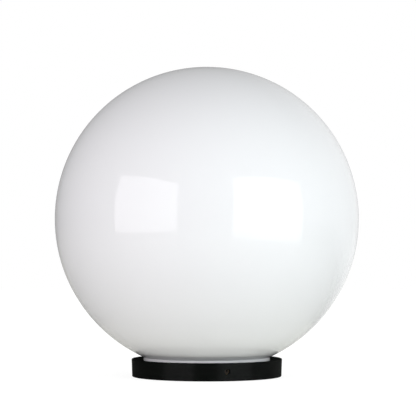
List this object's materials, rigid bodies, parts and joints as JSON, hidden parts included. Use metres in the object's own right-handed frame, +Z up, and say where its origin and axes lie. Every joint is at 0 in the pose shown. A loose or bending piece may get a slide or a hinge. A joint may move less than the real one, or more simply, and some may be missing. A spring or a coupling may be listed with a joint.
{
  "type": "post top light",
  "caption": "Round opal globe light for a garden post: a glossy sphere whose neck stands in a low black base with a post socket, a lampholder and a screw-in lamp.",
  "frame": {"origin": "on the axis of the globe and base, at the foot of the base", "axes": "+Z up along the axis, -Y towards the front of the picture"},
  "size_m": [0.2999, 0.3, 0.3055],
  "materials": {
    "opal_globe": "polished opal acrylic",
    "black_moulding": "satin black moulding",
    "seal_rubber": "matt",
    "screw_steel": "dark oxide",
    "brass": "turned",
    "zinc_steel": "zinc plated",
    "tinned_lug": "tinned",
    "holder_moulding": "satin phenolic",
    "holder_ceramic": "unglazed porcelain",
    "terminal_plastic": "natural nylon",
    "live_insulation": "brown insulation",
    "neutral_insulation": "blue insulation",
    "earth_insulation": "green and yellow insulation",
    "lamp_cap_metal": "rolled",
    "lamp_insulation": "dark moulding",
    "lamp_housing": "satin white",
    "lamp_board": "white solder mask",
    "lamp_chips": "yellow phosphor",
    "lamp_diffuser": "frosted white"
  },
  "bodies": {
    "base": {"gallery_base": "black_moulding", "neck_gasket": "seal_rubber", "cable_grommet": "seal_rubber", "globe_screw_inserts": "brass", "post_screw_inserts": "brass", "terminal_sleeves": "brass", "holder_screw_shell": "brass", "holder_centre_contact": "brass", "lamp_bracket": "zinc_steel", "bracket_washers": "zinc_steel", "bracket_screws": "zinc_steel", "holder_nipple": "zinc_steel", "nipple_locknut": "zinc_steel", "terminal_screws": "zinc_steel", "terminal_block_screws": "zinc_steel", "earth_screw": "zinc_steel", "earth_nut": "zinc_steel", "earth_lug": "tinned_lug", "holder_dome": "holder_moulding", "holder_shell": "holder_moulding", "holder_core": "holder_ceramic", "terminal_block": "terminal_plastic", "live_wire": "live_insulation", "neutral_wire": "neutral_insulation", "earth_wire": "earth_insulation"},
    "globe": {"opal_globe": "opal_globe"},
    "lamp": {"lamp_cap": "lamp_cap_metal", "lamp_tip": "lamp_cap_metal", "lamp_insulator": "lamp_insulation", "lamp_housing": "lamp_housing", "lamp_led_board": "lamp_board", "lamp_led_chips": "lamp_chips", "lamp_diffuser": "lamp_diffuser"},
    "globe_screw_1": {"globe_screw_1": "screw_steel"},
    "post_screw_1": {"post_screw_1": "screw_steel"},
    "globe_screw_2": {"globe_screw_2": "screw_steel"},
    "post_screw_2": {"post_screw_2": "screw_steel"},
    "globe_screw_3": {"globe_screw_3": "screw_steel"},
    "post_screw_3": {"post_screw_3": "screw_steel"}
  },
  "joints": [
    {"name": "globe_lift", "type": "slide", "parent": "base", "child": "globe", "axis": [0, 0, 1], "range_m": [0, 0.22]},
    {"name": "lamp_unscrew", "type": "slide", "parent": "base", "child": "lamp", "axis": [0, 0, 1], "range_m": [0, 0.045]},
    {"name": "globe_screw_1_turn_out", "type": "slide", "parent": "base", "child": "globe_screw_1", "axis": [0.2672, -0.9636, 0], "range_m": [0, 0.006]},
    {"name": "globe_screw_2_turn_out", "type": "slide", "parent": "base", "child": "globe_screw_2", "axis": [0.7009, 0.7133, 0], "range_m": [0, 0.006]},
    {"name": "globe_screw_3_turn_out", "type": "slide", "parent": "base", "child": "globe_screw_3", "axis": [-0.9681, 0.2504, 0], "range_m": [0, 0.006]},
    {"name": "post_screw_1_turn_out", "type": "slide", "parent": "base", "child": "post_screw_1", "axis": [1, 0, 0], "range_m": [-0.003, 0.006]},
    {"name": "post_screw_2_turn_out", "type": "slide", "parent": "base", "child": "post_screw_2", "axis": [-0.5, 0.866, 0], "range_m": [-0.003, 0.006]},
    {"name": "post_screw_3_turn_out", "type": "slide", "parent": "base", "child": "post_screw_3", "axis": [-0.5, -0.866, 0], "range_m": [-0.003, 0.006]}
  ]
}
